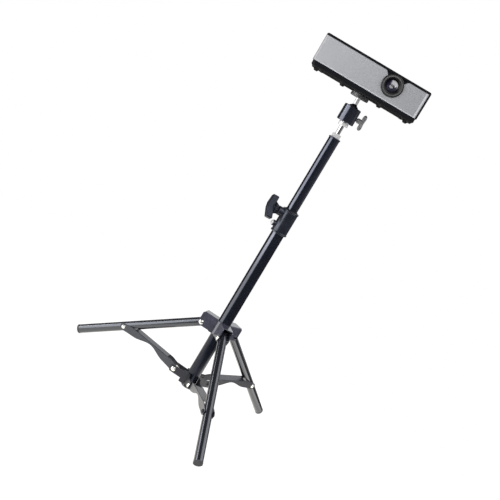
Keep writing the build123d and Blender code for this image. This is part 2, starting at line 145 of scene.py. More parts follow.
def length_value(description, millimetres):
    """A length that the sidebar shows, given in millimetres and kept in metres."""
    return FloatProperty(description=description, default=millimetres * MM, min=0.0, unit="LENGTH",
                         precision=5)


def level_value(description, default, unit="NONE"):
    """A power, a brightness or a share that the sidebar shows."""
    return FloatProperty(description=description, default=default, min=0.0, unit=unit)


def count_value(description, default, least):
    """A count that the sidebar shows."""
    return IntProperty(description=description, default=default, min=least)


def place_value(description, default):
    """A place that the sidebar shows."""
    return FloatVectorProperty(description=description, default=default, size=3, subtype="TRANSLATION")


class StandColours(bpy.types.PropertyGroup):
    """Colours of the finishes."""

    tube_paint: colour_value("Baked paint of the column", (0.0080, 0.0090, 0.0155))
    leg_paint: colour_value("Baked paint of the legs", (0.0130, 0.0135, 0.0175))
    hub_paint: colour_value("Paint of the sliding hub", (0.052, 0.053, 0.074))
    brace_paint: colour_value("Paint of the braces", (0.024, 0.025, 0.033))
    collar_paint: colour_value("Dull paint of the lower collar", (0.018, 0.018, 0.023))
    bare_edge: colour_value("Steel where paint has worn off an edge", (0.22, 0.23, 0.25))
    rivet_steel: colour_value("Nickel plate of the rivets", (0.83, 0.83, 0.81))
    screw_steel: colour_value("Zinc plate of the clamp screw", (0.62, 0.62, 0.60))
    chrome: colour_value("Bright plate of the stud and the stem", (0.86, 0.87, 0.89))
    zinc: colour_value("Satin zinc of the nuts on the stud", (0.74, 0.74, 0.75))
    # The ball's dark colour also gives the painted shade of the rivets on one side of the column.
    ball_oxide: colour_value("Dark oxide of the ball below its stem", (0.045, 0.047, 0.055))
    plastic: colour_value("Nylon of the clamp, knob and plugs", (0.012, 0.013, 0.020))
    rubber: colour_value("Wiper lip and the projector's feet", (0.013, 0.013, 0.013))
    plug_grey: colour_value("Grey rubber at the leg ends", (0.060, 0.060, 0.062))
    head_black: colour_value("Anodised cup of the ball head", (0.011, 0.012, 0.018))
    head_grey: colour_value("Turned platform", (0.15, 0.15, 0.16))
    cast_grey: colour_value("Cast thumb screw", (0.22, 0.22, 0.23))
    case_black: colour_value("Textured shell of the projector", (0.0055, 0.0055, 0.0062))
    silver: colour_value("Front of the projector", (0.378, 0.382, 0.402))
    lens_black: colour_value("Bezel and hood of the lens", (0.006, 0.006, 0.007))
    lens_grey: colour_value("Focus ring", (0.138, 0.139, 0.142))
    glass_core: colour_value("Coated glass at its middle", (0.006, 0.006, 0.018))
    glass_bloom: colour_value("Coated glass near its rim", (0.017, 0.017, 0.050))


class StandSizes(bpy.types.PropertyGroup):
    """Sizes of the trim that is added to the rigid pieces."""

    hexagon_tall: length_value("Height of the hexagon at the foot of the stud", 6.0)
    groove_count: count_value("Turned grooves round the platform's rim", 3, 1)
    groove_deep: length_value("Depth of a groove in the platform's rim", 0.28)
    band_sink: length_value("How far the grooved band is let into the rim", 0.25)
    flute_count: count_value("Flutes round the collar of the wing knob", 14, 3)
    flute_deep: length_value("Depth of a flute in the knob's collar", 0.35)
    flute_near: length_value("Radius of the knob's collar beside the clamp", 6.4)
    flute_far: length_value("Radius of the knob's collar under the wings", 9.2)
    flute_tall: length_value("Length of the knob's collar along its screw", 5.2)
    flute_gap: length_value("Running gap between the knob's collar and the clamp", 0.3)
    wing_thick: length_value("Thickness of the thumb screw's wing at its lobes", 6.2)
    wing_wide: length_value("Width of the thumb screw's wing at its lobes", 7.0)
    wing_waist: level_value("How much thinner the wing is at its middle", 0.25)
    wing_back: length_value("From the screw's end to the middle of its wing", 2.1)
    shank: length_value("Radius of the thumb screw's shank", 2.5)
    shank_collar: length_value("Radius of the collar outside the cup", 3.6)
    collar_gap: length_value("Gap between that collar and the cup", 1.2)
    wiper_wide: length_value("Width of the lip that wipes the inner tube", 1.5)
    wiper_tall: length_value("Height of the lip over the clamp collar", 1.1)
    wiper_gap: length_value("Running gap between the lip and the inner tube", 0.2)
    baffle_steps: count_value("Steps inside the lens hood", 6, 2)
    baffle_deep: length_value("Depth of a step inside the lens hood", 0.28)
    screw_head: length_value("Radius of the screws under the projector", 3.0)
    screw_tall: length_value("Height of a screw head under the projector", 1.3)
    recess_half: length_value("Half the width of an arm of the cross recess", 0.45)
    recess_deep: length_value("Depth of the cross recess", 0.9)
    jack_pin: length_value("Radius of the pin in the power inlet", 0.8)
    jack_wall: length_value("Thickness of the sleeve in the power inlet", 0.35)


class StandStage(bpy.types.PropertyGroup):
    """Camera, lamps and floor."""

    camera_place: place_value("Where the camera stands", (-0.006878, -1.268157, 0.459875))
    camera_aim: place_value("Point at the middle of the picture", (-0.02166, 0.0, 0.24363))
    camera_roll: FloatProperty(description="Turn of the camera about its line of sight",
                               default=math.radians(30.687), subtype="ANGLE")
    camera_lens: level_value("Focal length on a 36 mm frame", 66.28)
    key_power: level_value("Low window of light on the left", 10.0, "POWER")
    top_power: level_value("Wide soft light at the upper right", 13.0, "POWER")
    front_power: level_value("Soft light over the camera", 14.0, "POWER")
    fill_power: level_value("Wide soft light on the right", 4.0, "POWER")
    slim_power: level_value("Small light that draws a line on the front leg", 1.5, "POWER")
    band_power: level_value("Small light that draws a band on the left leg", 1.6, "POWER")
    ambient: level_value("Light of the room on matt surfaces", 0.25)
    room_dark: level_value("What shiny pieces see beside the white backdrop", 0.05)
    room_right: level_value("What shiny pieces see on the right", 0.16)
    room_strip: level_value("What they see of a lit strip in the right wall", 0.6)
    floor_shine: level_value("What shiny pieces see of the floor by the feet", 1.75)
    patch_shine: level_value("What shiny pieces see more by the right leg", 1.4)
    floor_radius: level_value("Radius of the pale floor", 3.0, "LENGTH")
    floor_white: level_value("Share of plain white in the floor by the feet", 0.70)


def colour(name):
    """One of the colours that the sidebar shows."""
    return getattr(bpy.context.scene.stand_colours, name)


def sizes():
    """The trim sizes that the sidebar shows."""
    return bpy.context.scene.stand_sizes


def joint(name):
    """One joint of the frame."""
    return next(entry for entry in frame["record"]["behaviour"]["joints"] if entry["name"] == name)


def outward(name):
    """Level direction from the column to a joint."""
    return Vector((*joint(name)["pos_m"][:2], 0.0)).normalized()


def middle(node):
    """Middle of a rigid piece's box."""
    lowest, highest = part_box(node)
    return (lowest + highest) / 2


def rgba(tone, gain=1.0):
    """A colour with full cover, lightened or darkened by a gain."""
    return (*(min(1.0, channel * gain) for channel in tone), 1.0)


SOCKETS = {"colour": "Base Color", "rough": "Roughness", "metal": "Metallic", "normal": "Normal",
           "sheen": "Specular IOR Level", "tint": "Specular Tint", "ior": "IOR", "coat": "Coat Weight",
           "coat_rough": "Coat Roughness", "coat_ior": "Coat IOR", "coat_normal": "Coat Normal"}


class NodeKit:
    """Short ways to add and wire the nodes of one tree."""

    def __init__(self, tree):
        self.tree = tree

    def feed(self, socket, value):
        """Wire an output to a socket, or set the socket's own value."""
        if isinstance(value, bpy.types.NodeSocket):
            self.tree.links.new(value, socket)
        else:
            socket.default_value = value

    def node(self, kind, inputs=None, **attributes):
        """Add a node, set its attributes and feed its inputs."""
        node = self.tree.nodes.new(kind)
        for attribute, value in attributes.items():
            setattr(node, attribute, value)
        for socket, value in (inputs or {}).items():
            self.feed(node.inputs[socket], value)
        return node

    def span(self, value, start, end, low, high, soft=False):
        """Carry a value from one span to another and clamp it there, with eased ends if soft."""
        inputs = {"Value": value, "From Min": start, "From Max": end, "To Min": low, "To Max": high}
        kind = "SMOOTHSTEP" if soft else "LINEAR"
        return self.node("ShaderNodeMapRange", inputs, interpolation_type=kind).outputs[0]

    def rise(self, value, start, end, soft=False):
        """From nothing to one between two limits of a value."""
        return self.span(value, start, end, 0.0, 1.0, soft)

    def between(self, share, low, high):
        """Carry a share from nothing to one to a span of values."""
        return self.span(share, 0.0, 1.0, low, high)

    def math(self, operation, first, second=0.0):
        """One sum on two values."""
        return self.node("ShaderNodeMath", {0: first, 1: second}, operation=operation).outputs[0]

    def times(self, first, second):
        """Product of two values."""
        return self.math("MULTIPLY", first, second)

    def mix(self, amount, first, second):
        """Blend of two colours."""
        node = self.node("ShaderNodeMix", {0: amount, 6: first, 7: second}, data_type="RGBA")
        return node.outputs[2]

    def pick(self, amount, first, second):
        """Blend of two numbers."""
        return self.node("ShaderNodeMix", {0: amount, 2: first, 3: second}).outputs[0]

    def axis(self, vector, name):
        """One coordinate of a vector."""
        return self.node("ShaderNodeSeparateXYZ", {0: vector}).outputs[name]

    def vector(self, operation, first, second=(0.0, 0.0, 0.0)):
        """Outputs of one sum on two vectors."""
        return self.node("ShaderNodeVectorMath", {0: first, 1: second}, operation=operation).outputs

    def along(self, vector, direction):
        """How far a vector points along a direction."""
        return self.vector("DOT_PRODUCT", vector, direction)["Value"]

    def away(self, vector, centre=(0.0, 0.0, 0.0)):
        """Distance of a place from a centre."""
        return self.vector("DISTANCE", vector, centre)["Value"]


class Finish(NodeKit):
    """A node material on Object coordinates that starts from the principled shader."""

    def __init__(self, name):
        self.material = bpy.data.materials.new(name)
        self.material.use_nodes = True
        super().__init__(self.material.node_tree)
        self.shader = self.tree.nodes["Principled BSDF"]
        self.place = self.node("ShaderNodeTexCoord").outputs["Object"]

    def fill(self, **values):
        """Feed the shader's sockets, which go by short names."""
        for name, value in values.items():
            self.feed(self.shader.inputs[SOCKETS[name]], value)

    def mapped(self, scale=(1, 1, 1), centre=(0, 0, 0)):
        """Object coordinates measured from a centre and scaled along each axis."""
        shift = [-c * s for c, s in zip(centre, scale)]
        inputs = {"Vector": self.place, "Scale": scale, "Location": shift}
        return self.node("ShaderNodeMapping", inputs).outputs[0]

    def noise(self, cells, detail=2.0, roughness=0.5, scale=None):
        """Fractal noise of some cells to the metre, drawn out along an axis whose scale is below one."""
        vector = self.mapped(scale) if scale else self.place
        inputs = {"Vector": vector, "Scale": cells, "Detail": detail, "Roughness": roughness}
        return self.node("ShaderNodeTexNoise", inputs).outputs[0]

    def cloud(self, cells, detail, low=0.0, high=1.0, cut=(0.35, 0.65), roughness=0.5, scale=None):
        """Noise between two cuts, carried to a span of values."""
        return self.span(self.noise(cells, detail, roughness, scale), *cut, low, high)

    def shade(self, amount, tone, low, high):
        """A colour that goes from one gain to another."""
        return self.mix(amount, rgba(tone, low), rgba(tone, high))

    def grains(self, cells, output="Distance"):
        """Cellular pattern: distance to the nearest of scattered points, or a colour of each cell."""
        inputs = {"Vector": self.place, "Scale": cells}
        return self.node("ShaderNodeTexVoronoi", inputs).outputs[output]

    def rounded(self, radius):
        """Surface direction with the sharp edges eased."""
        return self.node("ShaderNodeBevel", {"Radius": radius}, samples=6).outputs[0]

    def edges(self, radius):
        """One along sharp edges and nothing on flats: how far the eased direction leaves the true one."""
        true = self.node("ShaderNodeNewGeometry").outputs["Normal"]
        return self.span(self.along(true, self.rounded(radius)), 0.80, 0.98, 1.0, 0.0)

    def turned(self, normal, start, end):
        """A surface direction carried from the room's axes to the piece's own, or back."""
        return self.node("ShaderNodeVectorTransform", {0: normal}, vector_type="NORMAL",
                         convert_from=start, convert_to=end).outputs[0]

    def own_normal(self):
        """Surface direction in the piece's own axes."""
        true = self.node("ShaderNodeNewGeometry").outputs["Normal"]
        return self.turned(true, "WORLD", "OBJECT")

    def dished(self, centre, slope):
        """Direction of a face to the front that leans outwards from a centre by a slope per metre."""
        lean = self.mapped((slope, 0.0, slope), centre)
        lean = self.vector("ADD", lean, (0.0, -1.0, 0.0))[0]
        return self.vector("NORMALIZE", self.turned(lean, "OBJECT", "WORLD"))[0]

    def relief(self, height, strength, deep, bevel=None):
        """Fine unevenness from a height pattern, on edges that are eased if a bevel is given."""
        inputs = {"Height": height, "Strength": strength, "Distance": deep}
        if bevel is not None:
            inputs["Normal"] = self.rounded(bevel)
        return self.node("ShaderNodeBump", inputs).outputs[0]

    def orange_peel(self):
        """Faint unevenness of baked paint."""
        return self.relief(self.noise(900.0, 2.0), 0.02, 0.02 * MM)


def baked_paint(kit, paint, gloss, rub, tint, painted_shade_under=None):
    """Baked semi-gloss paint: slow mottling, faint orange peel and a few dull rub marks.

    Where a piece is named, the paint's gloss is cut under that piece's top, as painted shade.
    """
    kit.fill(
        sheen=1.0, tint=tint,
        colour=kit.shade(kit.cloud(45.0, 3.0), colour(paint), 0.88, 1.12),
        rough=kit.cloud(180.0, 5.0, gloss, gloss + rub, (0.45, 0.75), 0.6),
        normal=kit.orange_peel(),
    )
    # Painted shade: the gloss falls away below the named piece's top.
    if painted_shade_under is not None:
        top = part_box(painted_shade_under)[1].z
        height = kit.axis(kit.place, "Z")
        kit.fill(sheen=kit.span(height, top - PAINTED_SHADE_FADE, top, 0.35, 1.0))


def sliding_paint(kit):
    """The inner tube's paint: hairlines from sliding through the clamp, and rings where it was held."""
    hairline = kit.cloud(1500.0, 3.0, 0.0, 1.0, (0.58, 0.76), 0.6, (1.0, 1.0, 0.012))
    rings = kit.cloud(420.0, 2.0, 0.0, 0.5, (0.62, 0.80), 0.5, (0.02, 0.02, 1.0))
    wear = kit.math("MAXIMUM", hairline, rings)
    kit.fill(
        sheen=1.0, tint=COLD_SHEEN,
        colour=kit.shade(wear, colour("tube_paint"), 1.0, 1.7),
        rough=kit.between(wear, 0.15, 0.22),
        normal=kit.orange_peel(),
    )


def sheet_paint(kit, paint, sheen, gloss, coat, rubbed=None):
    """Powder paint on pressed steel: fine pebbling, and bare metal starting to show along the cut edges.

    Faces that look against the axis of a named joint have their gloss and coat cut, as painted shade.
    """
    body = kit.shade(kit.cloud(90.0, 4.0), colour(paint), 0.85, 1.2)
    chips = kit.cloud(700.0, 5.0, cut=(0.46, 0.60), roughness=0.7)
    worn = kit.times(kit.edges(0.35 * MM), chips)
    kit.fill(
        sheen=sheen, tint=PALE_SHEEN, coat=coat, coat_rough=0.12,
        colour=kit.mix(worn, body, rgba(colour("bare_edge"))),
        metal=kit.times(worn, 0.8),
        rough=kit.cloud(500.0, 4.0, gloss, gloss + 0.08),
        normal=kit.relief(kit.noise(2200.0, 2.0), 0.10, 0.04 * MM, 0.3 * MM),
    )
    # Painted shade: faces that look against the named joint's axis lose gloss and coat.
    if rubbed is not None:
        facing = kit.along(kit.own_normal(), -Vector(joint(rubbed)["axis"]))
        dull = kit.rise(facing, 0.90, 0.97)
        kit.fill(sheen=kit.between(dull, sheen, 0.25), coat=kit.between(dull, coat, 0.0))


def plated(kit, plate, gloss, brushed, painted_shade_side=None):
    """Bright plated steel: a little cloudiness in its gloss and fine tool marks.

    Where a joint is named, pieces that lie on its side of the column are dark instead of bright, as
    painted shade.
    """
    skin = kit.shade(kit.cloud(300.0, 4.0, cut=(0.3, 0.7)), colour(plate), 0.92, 1.0)
    # Painted shade: rivets on the named joint's side of the column take the dark colour.
    if painted_shade_side is not None:
        painted_shade_mask = kit.rise(kit.along(kit.place, outward(painted_shade_side)), *SHADED_SIDE_FADE)
        skin = kit.mix(painted_shade_mask, skin, rgba(colour("ball_oxide")))
    marks = kit.noise(2600.0, 3.0, 0.6, (1.0, 1.0, 0.25))
    kit.fill(
        metal=1.0,
        colour=skin,
        rough=kit.cloud(900.0, 5.0, gloss, gloss + 0.12, (0.3, 0.7), 0.7),
        normal=kit.relief(marks, brushed, 0.03 * MM, 0.15 * MM),
    )


def zinc_skin(kit):
    """Clouded colour of satin zinc."""
    return kit.shade(kit.noise(400.0, 4.0), colour("zinc"), 0.86, 1.08)


def satin_zinc(kit):
    """Pale satin zinc of the round nut under the ball head."""
    kit.fill(
        metal=0.35,
        colour=zinc_skin(kit),
        rough=kit.cloud(900.0, 4.0, 0.30, 0.42, (0.3, 0.7)),
        normal=kit.rounded(0.3 * MM),
    )


def above(kit, level, fade):
    """One above a level and nothing below it."""
    return kit.rise(kit.axis(kit.place, "Z"), level - fade, level + fade)


def stud_chrome(kit):
    """Chromed stud that rises from a hexagon of pale satin zinc."""
    bright = above(kit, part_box("head_stud")[0].z + sizes().hexagon_tall, 0.05 * MM)
    kit.fill(
        colour=kit.mix(bright, zinc_skin(kit), rgba(colour("chrome"))),
        metal=kit.between(bright, 0.35, 1.0),
        rough=kit.between(bright, 0.36, 0.06),
        normal=kit.relief(kit.noise(2600.0, 3.0, 0.6), 0.04, 0.03 * MM, 0.2 * MM),
    )


def ball_steel(kit):
    """Ball and stem turned from one bar: dark oxide on the ball and bright plate on the stem."""
    bright = above(kit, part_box("ball_housing")[1].z + BALL_RISE, 0.3 * MM)
    turning = kit.noise(60.0, 2.0, 0.5, (0.02, 0.02, 60.0))
    kit.fill(
        colour=kit.mix(bright, rgba(colour("ball_oxide")), rgba(colour("chrome"))),
        metal=kit.between(bright, 1.0, 0.35),
        rough=kit.between(bright, 0.30, 0.34),
        normal=kit.relief(turning, 0.05, 0.03 * MM),
    )


def moulded(kit, plastic, rough, cells, pebble, bevel=0.5 * MM, sheen=0.3):
    """Moulded plastic with a spark-eroded grain, eased edges and faint shine where hands rub it."""
    handled = kit.cloud(120.0, 3.0, rough, rough - 0.10, (0.40, 0.70))
    kit.fill(
        sheen=sheen, tint=COLD_SHEEN,
        colour=kit.shade(kit.cloud(70.0, 3.0), colour(plastic), 0.85, 1.2),
        rough=kit.math("SUBTRACT", handled, kit.times(kit.edges(bevel), 0.12)),
        normal=kit.relief(kit.grains(cells), pebble, 0.06 * MM, bevel),
    )


def head_black(kit):
    """Anodised cup: fine rings left by the lathe, and a silky gloss."""
    rings = kit.noise(1800.0, 3.0, 0.6, (0.004, 0.004, 1.0))
    kit.fill(
        sheen=1.0, tint=COLD_SHEEN,
        colour=kit.shade(kit.rise(rings, 0.3, 0.7), colour("head_black"), 0.85, 1.3),
        rough=kit.cloud(240.0, 5.0, 0.13, 0.19),
        normal=kit.relief(rings, 0.03, 0.04 * MM, 0.25 * MM),
    )


def head_grey(kit):
    """Turned grey alloy with concentric tool marks."""
    rings = kit.noise(1600.0, 3.0, 0.6, (0.01, 0.01, 1.0))
    kit.fill(
        metal=0.5,
        colour=kit.shade(kit.cloud(350.0, 4.0, cut=(0.3, 0.7)), colour("head_grey"), 0.92, 1.08),
        rough=kit.cloud(800.0, 5.0, 0.40, 0.46, (0.3, 0.7)),
        normal=kit.relief(rings, 0.10, 0.04 * MM, 0.3 * MM),
    )


def cast_grey(kit):
    """Cast grey alloy of the thumb screw: a fine blasted skin, rubbed brighter along its edges."""
    grey = colour("cast_grey")
    rubbed = kit.edges(0.5 * MM)
    skin = kit.shade(kit.noise(600.0, 4.0), grey, 0.85, 1.15)
    kit.fill(
        metal=0.40,
        colour=kit.mix(rubbed, skin, rgba(grey, 1.5)),
        rough=kit.between(rubbed, 0.46, 0.34),
        normal=kit.relief(kit.grains(2200.0), 0.10, 0.04 * MM, 0.4 * MM),
    )


def projector_silver(kit):
    """Silver lacquer: metal flake under a satin clear coat.

    Painted light: it fades from a lit left side to a shaded right side. The border is lightened with painted
    highlights where the edges lean back, and a narrow strip along the left edge is darker.
    """
    silver = colour("silver")
    sparkle = kit.axis(kit.grains(5200.0, "Color"), "X")
    lacquer = kit.shade(kit.between(sparkle, 0.0, 1.0), silver, 0.975, 1.025)
    cloud = kit.cloud(30.0, 2.0, cut=(0.3, 0.7))
    lacquer = kit.mix(kit.times(cloud, 0.12), lacquer, rgba(silver, 0.8))
    lowest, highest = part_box("projector_front")
    across = kit.axis(kit.place, "X")
    # Painted light: a fall-off from the lit left end to the shaded right end.
    fade = kit.rise(across, lowest.x, highest.x)
    painted_lit_end = kit.mix(0.25, lacquer, rgba(silver, 1.35))
    painted_shaded_end = kit.mix(0.55, lacquer, rgba(silver, 0.62))
    lacquer = kit.mix(fade, painted_lit_end, painted_shaded_end)
    # Painted highlights on border faces that lean right, down or left.
    facing = kit.own_normal()
    right = kit.rise(kit.axis(facing, "X"), 0.05, 0.20)
    low = kit.rise(kit.axis(facing, "Z"), -0.05, -0.25)
    left = kit.rise(kit.axis(facing, "X"), -0.05, -0.25)
    lacquer = kit.mix(kit.math("MAXIMUM", right, low), lacquer, rgba(silver, 1.45))
    lacquer = kit.mix(left, lacquer, rgba(silver, 1.08))
    left_edge_dark = kit.span(across, *(lowest.x + step for step in LEFT_EDGE_FADE), 1.0, 0.0)
    kit.fill(
        metal=0.10, coat=0.06, coat_rough=0.3, sheen=0.4,
        colour=kit.mix(left_edge_dark, lacquer, rgba(silver, 0.55)),
        rough=kit.cloud(160.0, 4.0, 0.36, 0.44),
        normal=kit.relief(kit.noise(2600.0, 2.0), 0.015, 0.02 * MM, 0.3 * MM),
    )


def lens_ring(kit, ring, metal, bright, cells, gloss, marks):
    """Ring of the lens, finely turned about its axis."""
    rings = kit.noise(1500.0, 3.0, 0.6, (0.02, 1.0, 0.02))
    kit.fill(
        metal=metal,
        colour=kit.shade(rings, colour(ring), 0.8, bright),
        rough=kit.cloud(cells, 4.0, gloss, 0.42),
        normal=kit.relief(rings, marks, 0.04 * MM, 0.25 * MM),
    )


def lens_glass(kit):
    """Coated front glass: violet bloom that deepens to navy at the middle and to black at the rim.

    The coat mirrors a shallow dome, and on the left its mirror is cut as painted shade of the hood. The
    layer under it mirrors as the hollow back face does, which leans the other way, near the middle only.
    """
    lowest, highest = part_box("lens_glass")
    centre = middle("lens_glass")
    radius = (highest.x - lowest.x) / 2
    out = kit.away(kit.mapped((1.0, 0.0, 1.0), centre))
    sideways = kit.axis(kit.mapped(centre=centre), "X")
    bloom = kit.rise(out, 0.1 * radius, 0.75 * radius)
    rim = kit.rise(out, 0.80 * radius, 0.98 * radius)
    coating = kit.mix(bloom, rgba(colour("glass_core")), rgba(colour("glass_bloom")))
    kit.fill(
        ior=1.8, coat_ior=2.7, coat_rough=0.20,
        # Painted shade of the hood: the coat fades out on the left.
        coat=kit.span(sideways, -0.55 * radius, -0.25 * radius, 0.05, 1.0),
        coat_normal=kit.dished(centre, 0.42 / radius),
        normal=kit.dished(centre, -1.0 / radius),
        sheen=kit.span(out, 0.40 * radius, 0.55 * radius, 1.0, 0.05),
        colour=kit.mix(rim, coating, rgba(colour("lens_black"))),
        rough=kit.cloud(120.0, 4.0, 0.03, 0.07, (0.3, 0.7)),
    )


FINISHES = {
    # The column's paint carries painted shade below the hub.
    "tube_paint": partial(baked_paint, paint="tube_paint", gloss=0.15, rub=0.05, tint=COLD_SHEEN,
                          painted_shade_under="hub_plate_1"),
    "leg_paint": partial(baked_paint, paint="leg_paint", gloss=0.17, rub=0.06, tint=PALE_SHEEN),
    "sliding_paint": sliding_paint,
    # Hub and braces carry painted shade on faces that look against a leg's fold axis.
    "hub_paint": partial(sheet_paint, paint="hub_paint", sheen=1.0, gloss=0.15, coat=0.35,
                         rubbed="leg_1_fold"),
    "brace_paint": partial(sheet_paint, paint="brace_paint", sheen=0.8, gloss=0.32, coat=0.08,
                           rubbed="leg_2_fold"),
    "collar_paint": partial(sheet_paint, paint="collar_paint", sheen=0.4, gloss=0.34, coat=0.0),
    "rivet_steel": partial(plated, plate="rivet_steel", gloss=0.16, brushed=0.10),
    # Rivets with painted shade on the side of the second leg.
    "pivot_steel": partial(plated, plate="rivet_steel", gloss=0.16, brushed=0.10, painted_shade_side="leg_2_fold"),
    "screw_steel": partial(plated, plate="screw_steel", gloss=0.26, brushed=0.25),
    "screw_black": partial(plated, plate="ball_oxide", gloss=0.34, brushed=0.20),
    "satin_zinc": satin_zinc,
    "stud_chrome": stud_chrome,
    "ball_steel": ball_steel,
    "black_plastic": partial(moulded, plastic="plastic", rough=0.36, cells=1900.0, pebble=0.06, sheen=0.6),
    "knob_plastic": partial(moulded, plastic="plastic", rough=0.42, cells=1900.0, pebble=0.10,
                            bevel=0.6 * MM, sheen=0.34),
    "foot_rubber": partial(moulded, plastic="plug_grey", rough=0.72, cells=1500.0, pebble=0.25),
    "projector_black": partial(moulded, plastic="case_black", rough=0.55, cells=1500.0, pebble=0.18,
                               sheen=0.16),
    "projector_rubber": partial(moulded, plastic="rubber", rough=0.70, cells=1600.0, pebble=0.2,
                                bevel=0.4 * MM),
    "head_black": head_black,
    "head_grey": head_grey,
    "cast_grey": cast_grey,
    "projector_silver": projector_silver,
    "lens_black": partial(lens_ring, ring="lens_black", metal=0.0, bright=1.5, cells=300.0, gloss=0.30,
                          marks=0.08),
    "lens_grey": partial(lens_ring, ring="lens_grey", metal=0.7, bright=1.25, cells=400.0, gloss=0.32,
                         marks=0.10),
    "lens_glass": lens_glass,
}


def finish_named(name):
    """The finish of that name, made the first time that it is asked for."""
    return bpy.data.materials.get(f"stand_{name}") or make_finish(name)


def make_finish(name):
    """Make one finish, under a name of its own apart from the frame's plain slots."""
    finish = Finish(f"stand_{name}")
    FINISHES[name](finish)
    return finish.material


def dress(name, *nodes):
    """Put a finish on rigid pieces."""
    material = finish_named(name)
    for node in nodes:
        for slot in NODES[node].material_slots:
            slot.material = material


def shell(grid, ring=False):
    """Points and faces of a grid that closes along its second way.

    A ring also closes along its first way. Any other grid ends in a fan about the middle of each end row.
    """
    rows, cols = grid.shape[:2]
    points = grid.reshape(-1, 3)
    near = np.arange(cols)
    far = np.roll(near, -1)
    steps = np.arange(rows if ring else rows - 1)[:, None]
    this_row = steps * cols
    next_row = (steps + 1) % rows * cols
    quads = np.stack([this_row + near, this_row + far, next_row + far, next_row + near], axis=-1)
    faces = quads.reshape(-1, 4).tolist()
    if not ring:
        first, last = len(points), len(points) + 1
        points = np.vstack([points, grid[0].mean(0), grid[-1].mean(0)])
        base = (rows - 1) * cols
        faces += np.stack([np.full(cols, first), far, near], axis=-1).tolist()
        faces += np.stack([np.full(cols, last), base + near, base + far], axis=-1).tolist()
    return points, faces


def add_piece(name, shells, finish, body, sharp=40.0):
    """Join closed shells into one piece, point its faces outwards and let it ride on a body."""
    points = np.vstack([part for part, _ in shells])
    faces = []
    start = 0
    for part, part_faces in shells:
        faces += [[index + start for index in face] for face in part_faces]
        start += len(part)
    mesh = bpy.data.meshes.new(name)
    mesh.from_pydata(points.tolist(), [], faces)
    work = bmesh.new()
    work.from_mesh(mesh)
    bmesh.ops.recalc_face_normals(work, faces=work.faces)
    work.to_mesh(mesh)
    work.free()
    mesh.shade_smooth()
    mesh.set_sharp_from_angle(angle=math.radians(sharp))
    mesh.materials.append(finish_named(finish))
    piece = bpy.data.objects.new(name, mesh)
    bpy.context.scene.collection.objects.link(piece)
    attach(piece, body)
    return piece


def about_axis(radii, stations, turns, origin, along):
    """Revolved grid: radius and station arrays, of one row or of a row for each angle, about an axis.

    A point is origin + along * station + radius * (cos(turn) * side + sin(turn) * other side).
    """
    along = np.asarray(along, float)
    side = np.cross(along, (0.0, 0.0, 1.0) if abs(along[2]) < 0.9 else (1.0, 0.0, 0.0))
    side /= np.linalg.norm(side)
    other = np.cross(along, side)
    radii = np.broadcast_to(np.atleast_2d(radii.T).T, (len(stations), len(turns)))
    spokes = np.cos(turns)[:, None] * side + np.sin(turns)[:, None] * other
    stations = np.asarray(stations, float).reshape(len(stations), 1, 1)
    return np.asarray(origin, float) + along * stations + radii[:, :, None] * spokes[None]


def full_turn(count):
    """Angles of one whole turn, without the repeated last one."""
    return np.arange(count) * (2.0 * math.pi / count)


def node_points(node):
    """Corner points of a rigid piece."""
    corners = NODES[node].data.vertices
    points = np.empty(len(corners) * 3)
    corners.foreach_get("co", points)
    return points.reshape(-1, 3)


def grooved_band(rim, bottom, top, trim):
    """Closed band round the rim with turned grooves: radius = rim + deep * (1 - cos(p)^8) up the wall.

    The angle p runs through half a turn for each groove, so the wall is nearly straight between narrow
    grooves. The section closes through a root that is let into the rim.
    """
    share = np.linspace(0.0, 1.0, trim.groove_count * 24 + 1)
    angle = math.pi * (trim.groove_count + 1) * share
    wall = rim + trim.groove_deep * (1.0 - np.cos(angle) ** 8)
    root = rim - trim.band_sink
    radii = np.concatenate([[root], wall, [root]])
    heights = np.concatenate([[bottom], bottom + (top - bottom) * share, [top]])
    return shell(about_axis(radii, heights, full_turn(120), (0, 0, 0), UPWARD), ring=True)


def wiper_lip(bore, base, trim):
    """Closed ring with a half-round top: radius = bore + wide * (1 - cos(p)) / 2, height = tall * sin(p)."""
    sweep = np.linspace(0.0, math.pi, 13)
    radii = bore + trim.wiper_wide * (1.0 - np.cos(sweep)) / 2.0
    heights = base + trim.wiper_tall * np.sin(sweep)
    radii = np.append(radii, [radii[-1], radii[0]])
    heights = np.append(heights, [base - WIPER_ROOT, base - WIPER_ROOT])
    return shell(about_axis(radii, heights, full_turn(72), (0, 0, 0), UPWARD), ring=True)


class STAND_OT_column(bpy.types.Operator):
    """Paint the column tubes, and add the lip that wipes the inner tube"""

    bl_idname = "stand.column"
    bl_label = "Column"

    def execute(self, context):
        dress("tube_paint", "outer_tube")
        dress("sliding_paint", "inner_tube")
        dress("black_plastic", "column_plug", "tube_cap")
        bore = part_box("inner_tube")[1].x + sizes().wiper_gap
        lip = wiper_lip(bore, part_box("clamp_collar")[1].z, sizes())
        add_piece("collar_wiper", [lip], "projector_rubber", "column")
        return {"FINISHED"}


class STAND_OT_legs(bpy.types.Operator):
    """Paint the legs and give their end plugs a rubber finish"""

    bl_idname = "stand.legs"
    bl_label = "Legs"

    def execute(self, context):
        dress("leg_paint", *(f"leg_tube_{k}" for k in HEADINGS))
        dress("foot_rubber", *(f"foot_plug_{k}" for k in HEADINGS))
        return {"FINISHED"}


class STAND_OT_linkage(bpy.types.Operator):
    """Paint the pressed hub, collar and braces, and plate their rivets"""

    bl_idname = "stand.linkage"
    bl_label = "Linkage"

    def execute(self, context):
        dress("hub_paint", *(f"hub_plate_{k}" for k in HEADINGS))
        dress("collar_paint", *(f"collar_plate_{k}" for k in HEADINGS))
        dress("brace_paint", *(f"brace_{k}" for k in HEADINGS))
        dress("pivot_steel", "hub_pivots", "collar_pivots")
        dress("rivet_steel", "leg_rivet_2", "leg_rivet_3")
        dress("screw_black", "leg_rivet_1")
        return {"FINISHED"}


